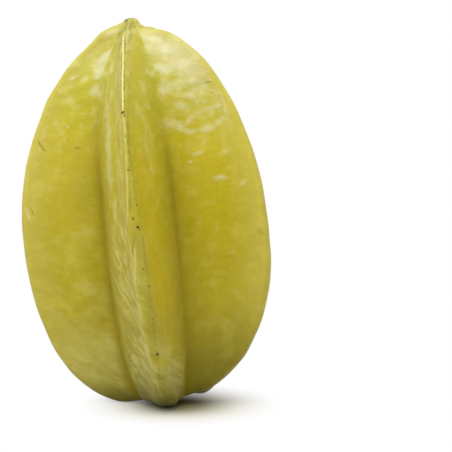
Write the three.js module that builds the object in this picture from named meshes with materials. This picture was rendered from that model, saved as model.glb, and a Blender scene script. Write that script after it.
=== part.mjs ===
// Star fruit (carambola), whole and ripe, standing on the shoulders of its ribs.
// Millimetres, +Z up. The origin lies on the resting surface, under the middle of the fruit.
//
// Five ribs stand round one axis, with five valleys between them. A line down the middle of each
// rib (its crest) and down each valley runs from the stem recess below, round the foot, out to the
// widest place and up to the blunt button at the top. Rings of points join those ten lines.

import * as THREE from "three";

const { degToRad, lerp, smoothstep } = THREE.MathUtils;

// ---- Driving dimensions ---------------------------------------------------------------------

const LEAN = degToRad(5.7); // the axis leans this far from upright, towards -X
const RECESS_HEIGHT = 7; // the stem scar's height above the feet, deep between the ribs
const BUTTON_HEIGHT = 114.6; // top of the button that the dried flower left
const BUTTON_RADIUS = 2.2;
const BUTTON_STEEPNESS = 0.5; // share of the button's height that its side climbs straight up
const FOOT_FLAT = 0.5; // depth by which a foot is pressed flat where it rests
const RECESS_FLAT = 0.35; // share of the foot's radius over which the recess's floor stays flat
const RECESS_FLARE = 0.5; // and over which its wall turns out to the foot

// What every crest has, unless a rib below says otherwise. Reaches are shares of the distance
// that a stretch of the outline has to cover, and say how full its curve is.
const CREST = {
  footRadius: 11.5,
  girth: 38.4, // radius at the widest place
  girthHeight: 49.8,
  tipRadius: 2.7,
  tipHeight: 112.6,
  tipSlope: degToRad(14), // fall of the shoulder as it leaves the button
  footReach: 0.25,
  lowerReach: 0.7,
  upperReach: 0.56,
  tipReach: 0.51,
  lift: -FOOT_FLAT, // of the foot's underside, above the resting surface
  twistLow: 0, // turn of the crest from the rib's own direction, at the foot
  twistHigh: 0, // and at the tip
  tipTurn: 0, // further turn, over the last stretch below the tip
};
const TIP_FROM = 104; // height at which that last stretch starts

// Directions are degrees from -Y, turning towards +X.
const RIBS = [
  { direction: -10, footRadius: 10.2, tipHeight: 113.2, twistLow: 6.5, twistHigh: 1, tipTurn: -6 },
  {
    direction: 64,
    footRadius: 9.6,
    girth: 37.9,
    tipRadius: 2.8,
    tipHeight: 112.6,
    tipSlope: degToRad(8),
    footReach: 0.29,
    lowerReach: 0.66,
    upperReach: 0.58,
    tipReach: 0.56,
    lift: 3.1,
  },
  { direction: 135, girth: 38.9, tipHeight: 112.8, twistLow: -2, twistHigh: 3 },
  { direction: 207, girth: 38.1, girthHeight: 51, tipHeight: 113.2, twistLow: 3, twistHigh: -2 },
  {
    direction: 279,
    footRadius: 14.2,
    girth: 38.8,
    tipRadius: 2.6,
    tipHeight: 113.3,
    tipSlope: degToRad(18),
    footReach: 0.16,
    lowerReach: 0.79,
    upperReach: 0.55,
    tipReach: 0.53,
  },
];

const VALLEY = {
  footRadius: 9.2,
  footHeight: 1.7,
  girth: 16.6,
  girthHeight: 55.5,
  tipRadius: 2.4,
  tipHeight: 112.2,
  tipSlope: degToRad(60),
  footReach: 0.65,
  lowerReach: 0.66,
  upperReach: 0.82,
  tipReach: 0.8,
};
const VALLEYS = [
  { direction: 25, girth: 15.8 },
  { direction: 99 },
  { direction: 171, girth: 16.9 },
  { direction: 242 },
  { direction: 309.5, girth: 17.1 },
];

// The crest's edge is broad at the foot, blunt low down and sharp towards the top.
const EDGE_HALF_WIDTH = { foot: 3.6, low: 2.2, high: 0.9 };
const FOOT_UNTIL = 14; // heights between which the edge changes
const LOW_UNTIL = 50;
const HIGH_FROM = 92;
const EDGE_DEPTH = 0.75; // depth of the rounded edge, as a share of half its width
const EDGE_SQUARENESS = 0.85; // under 1 squares the edge off
const EDGE_LIMIT = 0.6; // largest share of a rib's section that its edge takes
const FLANK_SWING = 0.45; // thins a rib by its edge and fills it out by the valley
const FLANK_BULGE = 0.05; // fills out the middle of a flank, as a share of its width

const RECESS_STEPS = 6;
const LOWER_STEPS = 17;
const UPPER_STEPS = 17;
const BUTTON_STEPS = 5;
const EDGE_STEPS = 3;
const FLANK_STEPS = 8;

// ---- Outlines from the stem recess to the button ----------------------------------------------

/** Radius and height of points down the middle of a rib or a valley, closest where it bends most. */
function outline(line) {
  const start = new THREE.Vector2(0, RECESS_HEIGHT);
  const foot = new THREE.Vector2(line.footRadius, line.footHeight);
  const widest = new THREE.Vector2(line.girth, line.girthHeight);
  const tip = new THREE.Vector2(line.tipRadius, line.tipHeight);
  const end = new THREE.Vector2(0, BUTTON_HEIGHT);

  const spread = line.girth - line.footRadius;
  const rise = line.girthHeight - line.footHeight;
  const climb = line.tipHeight - line.girthHeight;
  const shoulder = line.tipReach * (line.girth - line.tipRadius);
  const stretches = [
    {
      curve: new THREE.CubicBezierCurve(
        start,
        new THREE.Vector2(line.footRadius * RECESS_FLAT, RECESS_HEIGHT),
        new THREE.Vector2(line.footRadius * RECESS_FLARE, line.footHeight),
        foot,
      ),
      steps: RECESS_STEPS,
    },
    {
      curve: new THREE.CubicBezierCurve(
        foot,
        new THREE.Vector2(line.footRadius + line.footReach * spread, line.footHeight),
        new THREE.Vector2(line.girth, line.girthHeight - line.lowerReach * rise),
        widest,
      ),
      steps: LOWER_STEPS,
    },
    {
      curve: new THREE.CubicBezierCurve(
        widest,
        new THREE.Vector2(line.girth, line.girthHeight + line.upperReach * climb),
        new THREE.Vector2(
          line.tipRadius + shoulder * Math.cos(line.tipSlope),
          line.tipHeight - shoulder * Math.sin(line.tipSlope),
        ),
        tip,
      ),
      steps: UPPER_STEPS,
    },
    {
      curve: new THREE.CubicBezierCurve(
        tip,
        new THREE.Vector2(BUTTON_RADIUS, lerp(line.tipHeight, BUTTON_HEIGHT, BUTTON_STEEPNESS)),
        new THREE.Vector2(BUTTON_RADIUS, BUTTON_HEIGHT),
        end,
      ),
      steps: BUTTON_STEPS,
    },
  ];
  const points = stretches.flatMap(({ curve, steps }) => curve.getPoints(steps).slice(0, -1));
  return [...points, end];
}

/** The foot's height along the axis that brings it to its lift once the fruit leans. */
function footHeight({ lift, footRadius, direction }) {
  const across = footRadius * Math.sin(degToRad(direction));
  return (lift - across * Math.sin(LEAN)) / Math.cos(LEAN);
}

const ribs = RIBS.map((own) => {
  const rib = { ...CREST, ...own };
  rib.footHeight = footHeight(rib);
  return { ...rib, points: outline(rib) };
});
const valleys = VALLEYS.map((own) => {
  const valley = { ...VALLEY, ...own };
  return { ...valley, points: outline(valley) };
});

// ---- Cross-sections --------------------------------------------------------------------------

/** A point of an outline, turned to its direction round the axis. */
function turned(point, direction) {
  const angle = degToRad(direction);
  return new THREE.Vector3(point.x * Math.sin(angle), -point.x * Math.cos(angle), point.y);
}

/** The crest's direction at a height, with the rib's own twist. */
function crestDirection(rib, height) {
  const twist = lerp(rib.twistLow, rib.twistHigh, height / rib.tipHeight);
  return rib.direction + twist + rib.tipTurn * smoothstep(height, TIP_FROM, rib.tipHeight);
}

/** Half the width of a crest's edge at a height. */
function edgeHalfWidth(height) {
  const { foot, low, high } = EDGE_HALF_WIDTH;
  const belly = lerp(foot, low, smoothstep(height, 0, FOOT_UNTIL));
  return lerp(belly, high, smoothstep(height, LOW_UNTIL, HIGH_FROM));
}

/** One side of a rib on one ring, from its crest to just short of the valley. */
function flank(crest, valley, direction) {
  const angle = degToRad(direction);
  const across = new THREE.Vector3(Math.cos(angle), Math.sin(angle), 0);
  const whole = valley.clone().sub(crest);
  const width = whole.dot(across);
  const inward = whole.clone().addScaledVector(across, -width);
  const depth = inward.length();
  const edge = Math.min(edgeHalfWidth(crest.z), EDGE_LIMIT * Math.abs(width));
  const edgeDepth = Math.min((EDGE_DEPTH * edge) / depth, EDGE_LIMIT);

  const place = (share, half) =>
    crest
      .clone()
      .addScaledVector(inward, share)
      .addScaledVector(across, half * Math.sign(width));
  const points = [];
  for (let step = 0; step < EDGE_STEPS; step++) {
    const turn = ((step / EDGE_STEPS) * Math.PI) / 2;
    const half = edge * Math.sin(turn) ** EDGE_SQUARENESS;
    points.push(place(edgeDepth * (1 - Math.cos(turn)), half));
  }
  for (let step = 0; step < FLANK_STEPS; step++) {
    const down = step / FLANK_STEPS;
    const swing = (FLANK_SWING * Math.sin(2 * Math.PI * down)) / (2 * Math.PI);
    const flare = down - swing + FLANK_BULGE * Math.sin(Math.PI * down);
    points.push(place(lerp(edgeDepth, 1, down), lerp(edge, Math.abs(width), flare)));
  }
  return points;
}

/** All points of one ring, round the fruit from the first rib's crest. */
function ring(level) {
  return ribs.flatMap((rib, index) => {
    const next = ribs[(index + 1) % ribs.length];
    const valley = turned(valleys[index].points[level], valleys[index].direction);
    const [crest, nextCrest] = [rib, next].map(({ points }) => points[level]);
    const direction = crestDirection(rib, crest.y);
    const nextDirection = crestDirection(next, nextCrest.y);
    const down = flank(turned(crest, direction), valley, direction);
    const up = flank(turned(nextCrest, nextDirection), valley, nextDirection);
    return [...down, valley, ...up.slice(1).reverse()];
  });
}

// ---- The closed surface ----------------------------------------------------------------------

/** Faces that join the rings, closed at both ends of the axis. */
function fruitGeometry() {
  const last = ribs[0].points.length - 1;
  const rings = Array.from({ length: last - 1 }, (_, index) => ring(index + 1));
  const columns = rings[0].length;
  const bottom = 0;
  const top = 1 + rings.length * columns;
  const at = (level, column) => 1 + level * columns + (column % columns);

  const faces = [];
  for (let column = 0; column < columns; column++) {
    faces.push(bottom, at(0, column + 1), at(0, column));
    for (let level = 0; level < rings.length - 1; level++) {
      const [a, b] = [at(level, column), at(level, column + 1)];
      const [c, d] = [at(level + 1, column + 1), at(level + 1, column)];
      faces.push(a, b, c, a, c, d);
    }
    faces.push(at(rings.length - 1, column), at(rings.length - 1, column + 1), top);
  }

  const poles = [new THREE.Vector3(0, 0, RECESS_HEIGHT), new THREE.Vector3(0, 0, BUTTON_HEIGHT)];
  const points = [poles[0], ...rings.flat(), poles[1]];
  const geometry = new THREE.BufferGeometry().setFromPoints(points);
  geometry.setIndex(faces);
  return geometry;
}

/** Leans the fruit, presses its feet flat and brings the middle of its box over the origin. */
function stood(geometry) {
  geometry.rotateY(-LEAN);
  const position = geometry.getAttribute("position");
  for (let index = 0; index < position.count; index++) {
    position.setZ(index, Math.max(position.getZ(index), 0));
  }
  geometry.computeBoundingBox();
  const middle = geometry.boundingBox.getCenter(new THREE.Vector3());
  geometry.translate(-middle.x, -middle.y, 0);
  geometry.computeVertexNormals();
  return geometry;
}

const skin = new THREE.MeshStandardMaterial({ color: 0xb5a92f, roughness: 0.42, metalness: 0 });
const fruit = new THREE.Mesh(stood(fruitGeometry()), skin);
fruit.name = "fruit";

const starFruit = new THREE.Group();
starFruit.add(fruit);

export default starFruit;
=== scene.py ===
"""A whole ripe star fruit, standing on the shoulders of its ribs in a plain studio.

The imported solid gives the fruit's place, size and the run of its five ribs. This script
grows the fine skin over it: the swells and creases of the flanks, the thin seam along each
crest, the waxy bloom, the flecks and the scars. Everything is in metres, +Z up, and in the
solid's own frame, unless a class says that its sizes are in millimetres.
"""

import logging
import math
from collections.abc import Sequence
from dataclasses import dataclass
from enum import Enum
from functools import reduce

import bpy
import numpy as np
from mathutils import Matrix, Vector, noise


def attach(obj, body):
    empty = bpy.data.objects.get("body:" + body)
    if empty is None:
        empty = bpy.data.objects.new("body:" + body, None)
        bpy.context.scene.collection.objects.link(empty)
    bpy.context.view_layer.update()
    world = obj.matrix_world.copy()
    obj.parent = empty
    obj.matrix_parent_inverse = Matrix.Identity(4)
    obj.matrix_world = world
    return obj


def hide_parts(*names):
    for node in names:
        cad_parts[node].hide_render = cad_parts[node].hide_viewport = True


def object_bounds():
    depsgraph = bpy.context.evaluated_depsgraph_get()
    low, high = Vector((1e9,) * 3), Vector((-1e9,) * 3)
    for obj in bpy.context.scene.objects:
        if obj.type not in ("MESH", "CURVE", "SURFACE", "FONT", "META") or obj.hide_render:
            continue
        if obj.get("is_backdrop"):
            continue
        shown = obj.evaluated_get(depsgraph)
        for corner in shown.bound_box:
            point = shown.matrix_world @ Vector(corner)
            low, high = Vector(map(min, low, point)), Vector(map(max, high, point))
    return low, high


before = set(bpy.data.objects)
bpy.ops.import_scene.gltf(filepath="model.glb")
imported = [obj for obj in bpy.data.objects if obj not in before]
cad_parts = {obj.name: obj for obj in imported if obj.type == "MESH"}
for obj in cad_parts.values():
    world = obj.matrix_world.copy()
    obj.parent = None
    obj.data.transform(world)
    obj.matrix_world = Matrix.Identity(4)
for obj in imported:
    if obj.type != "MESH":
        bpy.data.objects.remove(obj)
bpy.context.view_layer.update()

FRUIT = "fruit"  # the solid's node
BODY = "root"
RING_MAP = "ring_map"  # a corner's column and level in the solid's rings
SKIN_MAP = "skin_map"  # the ribs' skins laid flat side by side: metres across, and up the axis
STRIP = 0.1  # from one rib's crest to the next on that map
MM = 0.001

log = logging.getLogger("star_fruit")


# ---- Colours and shader maths ----------------------------------------------------------------

Colour = tuple[float, float, float, float]
WHITE: Colour = (1.0, 1.0, 1.0, 1.0)


def linear(code: str) -> Colour:
    """Turns a hex colour into the linear values that a shader reads.

    Args:
        code: The colour as six hex digits after a hash sign.

    Returns:
        Red, green, blue and alpha.
    """
    channels = [int(code[i : i + 2], 16) / 255 for i in (1, 3, 5)]
    red, green, blue = [c / 12.92 if c <= 0.04045 else ((c + 0.055) / 1.055) ** 2.4 for c in channels]
    return (red, green, blue, 1.0)


class Signal:
    """A node's output that Python's operators turn into Math nodes."""

    def __init__(self, bench: "Bench", socket: bpy.types.NodeSocket) -> None:
        """Wraps the output of a node in a bench's material."""
        self.bench = bench
        self.socket = socket

    def _math(self, operation: str, *values: "Signal | float") -> "Signal":
        """Adds a Math node on these values."""
        return self.bench.add("ShaderNodeMath", {"operation": operation}, dict(enumerate(values)))

    def __add__(self, other: "Signal | float") -> "Signal":
        """This value plus another."""
        return self._math("ADD", self, other)

    def __radd__(self, other: float) -> "Signal":
        """A number plus this value."""
        return self._math("ADD", other, self)

    def __sub__(self, other: "Signal | float") -> "Signal":
        """This value less another."""
        return self._math("SUBTRACT", self, other)

    def __rsub__(self, other: float) -> "Signal":
        """A number less this value."""
        return self._math("SUBTRACT", other, self)

    def __mul__(self, other: "Signal | float") -> "Signal":
        """This value times another."""
        return self._math("MULTIPLY", self, other)

    def __rmul__(self, other: float) -> "Signal":
        """A number times this value."""
        return self._math("MULTIPLY", other, self)

    def __abs__(self) -> "Signal":
        """This value without its sign."""
        return self._math("ABSOLUTE", self)

    def most(self, other: "Signal | float") -> "Signal":
        """The larger of this value and another."""
        return self._math("MAXIMUM", self, other)

    def step(self, low: float, high: float) -> "Signal":
        """Eases from 0 at one value to 1 at another.

        Args:
            low: The value that gives 0.
            high: The value that gives 1. It may be the smaller one.

        Returns:
            The eased value.
        """
        ends = (low, high, 0.0, 1.0) if low < high else (high, low, 1.0, 0.0)
        names = ("From Min", "From Max", "To Min", "To Max")
        inputs = {"Value": self, **dict(zip(names, ends))}
        # The easing stays within its ends by itself, so the node's own clamp is left out.
        settings = {"interpolation_type": "SMOOTHSTEP", "clamp": False}
        return self.bench.add("ShaderNodeMapRange", settings, inputs)

    def peak(self, middle: float, half_width: float) -> "Signal":
        """1 at a value, falling smoothly to 0 at half a width to both sides of it."""
        return abs(self - middle).step(half_width, 0.0)


class Bench:
    """One material's node tree, with the tools to fill it."""

    def __init__(self, tree: bpy.types.NodeTree) -> None:
        """Empties a node tree, to work in it."""
        self.tree = tree
        tree.nodes.clear()

    def add(
        self,
        kind: str,
        settings: dict[str, object] | None = None,
        inputs: dict[str | int, object] | None = None,
        output: str | int = 0,
    ) -> Signal:
        """Adds a node, sets it and joins its sockets.

        Args:
            kind: The node's type.
            settings: Its properties, which are set first.
            inputs: Values or signals by the socket's name or number.
            output: The output to give back, by name or number.

        Returns:
            The chosen output.
        """
        node = self.tree.nodes.new(kind)
        for name, value in (settings or {}).items():
            if name == "stops":
                self._set_stops(node.color_ramp, value)
            else:
                setattr(node, name, value)
        for key, value in (inputs or {}).items():
            socket = self._socket(node.inputs, key)
            if isinstance(value, Signal):
                self.tree.links.new(value.socket, socket)
            else:
                socket.default_value = value
        live = [s for s in node.outputs if s.enabled]
        if not live:
            return Signal(self, None)
        return Signal(self, live[output] if isinstance(output, int) else self._socket(live, output))

    @staticmethod
    def _socket(sockets: Sequence[bpy.types.NodeSocket], key: str | int) -> bpy.types.NodeSocket:
        """Finds a socket by its number, or by name among those in use."""
        if isinstance(key, int):
            return sockets[key]
        return next(s for s in sockets if s.enabled and key in (s.name, s.identifier))

    @staticmethod
    def _set_stops(ramp: bpy.types.ColorRamp, stops: Sequence[tuple[float, Colour]]) -> None:
        """Gives a colour ramp its stops, which are places from 0 to 1 and their colours."""
        while len(ramp.elements) < len(stops):
            ramp.elements.new(1.0)
        for element, (place, colour) in zip(ramp.elements, stops):
            element.position = place
            element.color = colour

    def attribute(self, name: str) -> Signal:
        """Reads a value that is stored on the mesh's points."""
        return self.add("ShaderNodeAttribute", {"attribute_name": name}, output="Fac")

    def noise(
        self, place: Signal, size: float, detail: float = 2.0, warp: float = 0.0, output: str = "Fac"
    ) -> Signal:
        """Cloudy noise, about 0.5 on average.

        Args:
            place: The coordinates.
            size: The size of one cloud, in the coordinates' unit.
            detail: How many finer layers are added.
            warp: How far the clouds are twisted.
            output: "Fac" for one value, or "Color" for three that differ.

        Returns:
            The noise.
        """
        inputs = {"Vector": place, "Scale": 1 / size, "Detail": detail, "Distortion": warp}
        return self.add("ShaderNodeTexNoise", None, inputs, output)

    def stirred(self, flat: Signal, place: Signal, size: float, far: float) -> Signal:
        """Coordinates on the flat map that wander, so that what is drawn on them has a natural edge.

        Args:
            flat: The coordinates on the flat map.
            place: The coordinates in space, which steer the wandering.
            size: The size of one wander.
            far: How far it goes to each side, rare peaks apart.

        Returns:
            The new coordinates.
        """
        drift = self.noise(place, size, 2, 0, "Color")
        even = self.add("ShaderNodeVectorMath", {"operation": "SUBTRACT"}, {0: drift, 1: (0.5, 0.5, 0.5)})
        # The noise seldom leaves the middle half of its range.
        inputs = {0: even, 1: (4 * far, 4 * far, 0.0), 2: flat}
        return self.add("ShaderNodeVectorMath", {"operation": "MULTIPLY_ADD"}, inputs)

    def split(self, vector: Signal) -> tuple[Signal, ...]:
        """A vector's three parts."""
        part = self.add("ShaderNodeSeparateXYZ", None, {"Vector": vector})
        return tuple(Signal(self, socket) for socket in part.socket.node.outputs)

    def length(self, vector: Signal) -> Signal:
        """A vector's length."""
        return self.add("ShaderNodeVectorMath", {"operation": "LENGTH"}, {0: vector}, output="Value")

    def blend(self, share: Signal | float, under: object, over: object) -> Signal:
        """Lays a share of one colour over another."""
        inputs = {"Factor_Float": share, "A_Color": under, "B_Color": over}
        return self.add("ShaderNodeMix", {"data_type": "RGBA"}, inputs)

    def dappled(self, colour: Signal, texture: Signal, swing: float) -> Signal:
        """Makes a colour lighter and darker with a texture, by a share of it at most."""
        inputs = {0: colour, "Scale": 1 - swing + 2 * swing * texture}
        return self.add("ShaderNodeVectorMath", {"operation": "SCALE"}, inputs)

    def finish(self, shader: Signal) -> None:
        """Sends a shader to the output."""
        self.add("ShaderNodeOutputMaterial", None, {"Surface": shader})


def new_material(name: str) -> tuple[bpy.types.Material, Bench]:
    """Makes an empty material, and the bench that fills it."""
    material = bpy.data.materials.new(name)
    material.use_nodes = True
    return material, Bench(material.node_tree)


# ---- Modelling tools ---------------------------------------------------------------------------


def pick(piece: bpy.types.Object) -> None:
    """Selects one object alone and makes it the active one."""
    bpy.ops.object.select_all(action="DESELECT")
    piece.select_set(True)
    bpy.context.view_layer.objects.active = piece


def edit(piece: bpy.types.Object, select: str = "SELECT") -> None:
    """Enters edit mode on one object, with all of its mesh selected or none."""
    pick(piece)
    bpy.ops.object.mode_set(mode="EDIT")
    bpy.ops.mesh.select_all(action=select)


def done() -> None:
    """Leaves edit mode."""
    bpy.ops.object.mode_set(mode="OBJECT")


def smoothed(piece: bpy.types.Object, levels: int) -> None:
    """Subdivides a piece's mesh smoothly and for good.

    Args:
        piece: The piece.
        levels: How many times each face is divided.
    """
    pick(piece)
    bpy.ops.object.modifier_add(type="SUBSURF")
    modifier = piece.modifiers[-1]
    modifier.levels = levels
    modifier.render_levels = levels
    modifier.uv_smooth = "NONE"
    bpy.ops.object.modifier_apply(modifier=modifier.name)
    bpy.ops.object.shade_smooth()


def points_of(mesh: bpy.types.Mesh) -> np.ndarray:
    """The mesh's points as an array of rows."""
    flat = np.empty(len(mesh.vertices) * 3)
    mesh.vertices.foreach_get("co", flat)
    return flat.reshape(-1, 3)


def normals_of(mesh: bpy.types.Mesh) -> np.ndarray:
    """The way out of the surface at each of the mesh's points."""
    flat = np.empty(len(mesh.vertices) * 3)
    mesh.vertex_normals.foreach_get("vector", flat)
    return flat.reshape(-1, 3)


def cylinder(
    name: str, sides: int, radius: float, depth: float, place: Vector, up: Vector
) -> bpy.types.Object:
    """Makes a cylinder, with its place and turn in its mesh.

    Args:
        name: Its name.
        sides: How many sides it has.
        radius: Its radius.
        depth: Its length.
        place: Its middle.
        up: The way its axis runs.

    Returns:
        The cylinder.
    """
    bpy.ops.object.select_all(action="DESELECT")
    turn = up.to_track_quat("Z", "Y").to_euler()
    bpy.ops.mesh.primitive_cylinder_add(
        vertices=sides, radius=radius, depth=depth, location=place, rotation=turn
    )
    piece = bpy.context.object
    piece.name = piece.data.name = name
    bpy.ops.object.transform_apply(location=True, rotation=True, scale=True)
    return piece


def edit_end(piece: bpy.types.Object, way: Vector) -> None:
    """Enters edit mode on a piece with only its last face along a direction selected."""
    edit(piece, "DESELECT")
    done()
    end = max(piece.data.polygons, key=lambda face: face.center @ way)
    end.select = True
    bpy.ops.object.mode_set(mode="EDIT")


def clouds(points: np.ndarray, size: float, seed: int) -> np.ndarray:
    """Smooth noise at each point, from about -1 to 1.

    Args:
        points: The points, in metres.
        size: The size of one swell, in metres.
        seed: Picks one pattern among many.

    Returns:
        One value a point.
    """
    shift = np.array((31.7, 17.3, 9.1)) * seed
    return np.array([noise.noise(Vector(p)) for p in points / size + shift])


def roughen(piece: bpy.types.Object, size: float, depth: float, seed: int) -> None:
    """Pushes a piece's surface in and out.

    Args:
        piece: The piece.
        size: The size of one swell, in metres.
        depth: How far it goes.
        seed: Picks one pattern among many.
    """
    points = points_of(piece.data)
    points += normals_of(piece.data) * clouds(points, size, seed)[:, None] * depth
    piece.data.vertices.foreach_set("co", points.ravel())


def eased(values: np.ndarray, low: float, high: float) -> np.ndarray:
    """Eases from 0 where a value is low to 1 where it is high.

    Args:
        values: The values.
        low: The value that gives 0.
        high: The value that gives 1. It may be the smaller one.

    Returns:
        The eased values.
    """
    share = np.clip((values - low) / (high - low), 0, 1)
    return share * share * (3 - 2 * share)


def hump(distance: np.ndarray, width: float) -> np.ndarray:
    """1 where a distance is nought, falling away like a bell."""
    return np.exp(-((distance / width) ** 2))


# ---- The fruit's own coordinates ---------------------------------------------------------------


class Rib(Enum):
    """The five ribs, counted round the fruit from the front one towards +X."""

    FRONT = 0
    RIGHT = 1
    BACK_RIGHT = 2
    BACK_LEFT = 3
    LEFT = 4


@dataclass(frozen=True)
class Axis:
    """The line through the fruit from the stem recess to the button.

    Attributes:
        low: The deepest point of the stem recess.
        high: The top of the button.
    """

    low: np.ndarray
    high: np.ndarray

    @property
    def up(self) -> np.ndarray:
        """The axis's direction, one metre long."""
        return (self.high - self.low) / np.linalg.norm(self.high - self.low)

    @property
    def foot(self) -> np.ndarray:
        """The point where the axis meets the resting surface."""
        return self.low - self.up * (self.low[2] / self.up[2])

    def off(self, points: np.ndarray) -> np.ndarray:
        """How far points lie from the axis, as vectors square to it."""
        along = points - self.low
        return along - (along @ self.up)[..., None] * self.up

    def heights(self, points: np.ndarray) -> np.ndarray:
        """Points' heights along the axis, from the resting surface."""
        return (points - self.foot) @ self.up


@dataclass
class Rings:
    """The rings of points that the solid is made of, from the stem recess to the button.

    Attributes:
        axis: The line that the rings stand round.
        levels: Each point's ring. The lower pole's is 0.
        columns: Each point's place in its ring, counted from the front crest.
        places: The points by ring and column, without the two poles.
        poles: The numbers of the lower and the upper pole.
    """

    axis: Axis
    levels: np.ndarray
    columns: np.ndarray
    places: np.ndarray
    poles: tuple[int, int]

    @classmethod
    def read(cls, mesh: bpy.types.Mesh) -> "Rings":
        """Finds the rings in a closed mesh that runs between two poles.

        Args:
            mesh: The mesh, its doubles merged.

        Returns:
            The rings.
        """
        points = points_of(mesh)
        near = [[] for _ in points]
        for a, b in (edge.vertices for edge in mesh.edges):
            near[a].append(b)
            near[b].append(a)
        ends = sorted(range(len(points)), key=lambda i: -len(near[i]))[:2]
        low, high = sorted(ends, key=lambda i: points[i][2])
        levels = np.full(len(points), -1)
        levels[low] = 0
        edge_of_search = [low]
        while edge_of_search:
            found = [n for i in edge_of_search for n in near[i] if levels[n] < 0]
            for n in found:
                levels[n] = levels[edge_of_search[0]] + 1
            edge_of_search = sorted(set(found))

        axis = Axis(points[low], points[high])
        off = axis.off(points)
        turns = np.arctan2(off[:, 0], -off[:, 1])
        first = sorted(near[low], key=lambda i: turns[i])
        width = len(first)
        columns = np.full(len(points), -1)
        columns[first] = np.arange(width)
        for level in range(2, levels[high]):
            for i in np.flatnonzero(levels == level):
                a, b = [columns[n] for n in near[i] if levels[n] == level - 1]
                columns[i] = b if (a + 1) % width == b else a

        rings = np.empty((levels[high] - 1, width, 3))
        body = columns >= 0
        rings[levels[body] - 1, columns[body]] = points[body]
        start = cls._front_crest(axis.off(rings))
        columns[body] = (columns[body] - start) % width
        return cls(axis, levels, columns, np.roll(rings, -start, axis=1), (low, high))

    @staticmethod
    def _front_crest(off: np.ndarray) -> int:
        """The column of the crest that faces -Y.

        Args:
            off: The points' distances from the axis, as vectors by ring and column.

        Returns:
            The column.
        """
        reach = np.linalg.norm(off, axis=2).sum(axis=0)
        spacing = off.shape[1] // len(Rib)
        first = int(np.argmax(reach.reshape(len(Rib), spacing).sum(axis=0)))
        crests = [first + spacing * rib.value for rib in Rib]
        return min(crests, key=lambda column: off[:, column, 1].sum())

    @property
    def spacing(self) -> int:
        """How many columns lie between two crests."""
        return self.places.shape[1] // len(Rib)

    def spans(self) -> np.ndarray:
        """Distances along each ring from a crest to the columns on both sides of it.

        Returns:
            Metres by level (with the poles), rib, side (0 is back, 1 is on) and column.
        """
        count, width, _ = self.places.shape
        half = self.spacing // 2
        table = np.zeros((count + 2, len(Rib), 2, half + 1))
        for rib in Rib:
            for side, turn in enumerate((-1, 1)):
                run = (rib.value * self.spacing + turn * np.arange(half + 1)) % width
                gaps = np.linalg.norm(np.diff(self.places[:, run], axis=1), axis=2)
                table[1:-1, rib.value, side, 1:] = np.cumsum(gaps, axis=1)
        return table


@dataclass
class SkinPlaces:
    """Where each of the skin's points is on the fruit, in millimetres.

    Attributes:
        rib: The number of the rib that the point is on.
        height: Height along the axis, from the resting surface.
        across: Distance over the skin from the rib's crest, plus towards the next rib.
        gap: Distance over the skin from the valley.
    """

    rib: np.ndarray
    height: np.ndarray
    across: np.ndarray
    gap: np.ndarray

    @property
    def crest(self) -> np.ndarray:
        """Distance over the skin from the crest, to either side."""
        return np.abs(self.across)

    @property
    def room(self) -> np.ndarray:
        """0 where the ribs are too narrow for detail, at both ends, and 1 elsewhere."""
        return eased(self.crest + self.gap, 2.5, 7)


# ---- Marks on the skin -------------------------------------------------------------------------

OVERLAP = 1.6  # how far a streak's ovals run on past its points, as a share of its width


def plainest(covers: Sequence[Signal]) -> Signal:
    """The largest of several values."""
    return reduce(Signal.most, covers)


@dataclass(frozen=True)
class Patch:
    """An oval mark. Millimetres and degrees.

    Attributes:
        height: The height of its middle, along the axis.
        across: How far its middle is from the rib's crest, plus towards the next rib.
        wide: Its width.
        tall: Its height.
        strength: How plain it is, up to 1.
        tilt: How far its width climbs away from the level.
    """

    height: float
    across: float
    wide: float
    tall: float
    strength: float
    tilt: float = 0.0

    def draw(self, bench: Bench, flat: Signal, rib: Rib, soft: float) -> Signal:
        """Draws the mark on the flat map of the skin.

        Args:
            bench: The material to draw it in.
            flat: The coordinates on the flat map.
            rib: The rib that it is on.
            soft: The share of its size over which its edge fades.

        Returns:
            From 0 outside it to its strength.
        """
        middle = (rib.value * STRIP + self.across * MM, self.height * MM, 0.0)
        if self.tilt:
            turn = {"Vector": flat, "Center": middle, "Angle": -math.radians(self.tilt)}
            flat = bench.add("ShaderNodeVectorRotate", {"rotation_type": "Z_AXIS"}, turn)
        # The mark's own edge is 1 away from its middle. A Mapping node would do the same, but one
        # for each mark is more than the renderer holds in a material.
        shrink = (2 / (self.wide * MM), 2 / (self.tall * MM), 0.0)
        shift = tuple(-scale * part for scale, part in zip(shrink, middle))
        inputs = {0: flat, 1: shrink, 2: shift}
        own = bench.add("ShaderNodeVectorMath", {"operation": "MULTIPLY_ADD"}, inputs)
        return bench.length(own).step(1 + soft, 1 - soft) * self.strength


@dataclass(frozen=True)
class Streak:
    """A line through a few points. Millimetres.

    Attributes:
        route: Its points, each the distance from the rib's crest and the height.
        width: Its width.
        strength: How plain it is, up to 1.
    """

    route: tuple[tuple[float, float], ...]
    width: float
    strength: float

    def draw(self, bench: Bench, flat: Signal, rib: Rib, soft: float) -> Signal:
        """Draws the line as a chain of long ovals, with the same arguments as a patch."""
        ovals = [self._oval(*ends) for ends in zip(self.route, self.route[1:])]
        return plainest([oval.draw(bench, flat, rib, soft) for oval in ovals])

    def _oval(self, start: tuple[float, float], end: tuple[float, float]) -> Patch:
        """The oval that covers the line between two of its points."""
        run, rise = end[0] - start[0], end[1] - start[1]
        long = math.hypot(run, rise) + OVERLAP * self.width
        tilt = math.degrees(math.atan2(rise, run))
        height, across = (start[1] + end[1]) / 2, (start[0] + end[0]) / 2
        return Patch(height, across, long, self.width, self.strength, tilt)


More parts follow.
